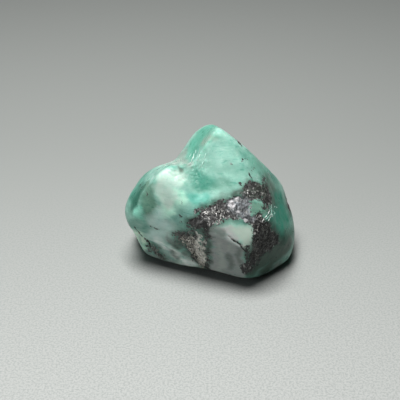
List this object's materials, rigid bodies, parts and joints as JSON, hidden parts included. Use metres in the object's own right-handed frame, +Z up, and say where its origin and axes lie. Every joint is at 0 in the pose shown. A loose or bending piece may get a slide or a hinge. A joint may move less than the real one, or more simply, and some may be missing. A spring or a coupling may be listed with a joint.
{
  "type": "raw emerald crystal",
  "caption": "Tumbled lump of raw emerald, green beryl in milky quartz and dark mica schist, resting on a flat underside.",
  "frame": {"origin": "middle of the stone's width and depth, at the level of the worn flat that it rests on", "axes": "+Z up; +X to the right along the stone's longest side; -Y towards the viewer, the side with the mica schist"},
  "size_m": [0.0262, 0.0206, 0.0219],
  "materials": {
    "emerald_stone": "tumbled to a waxy gloss: milky to teal green beryl and grey quartz, with rough glittering dark mica schist"
  },
  "bodies": {
    "root": {"raw_emerald": "emerald_stone"}
  },
  "joints": []
}
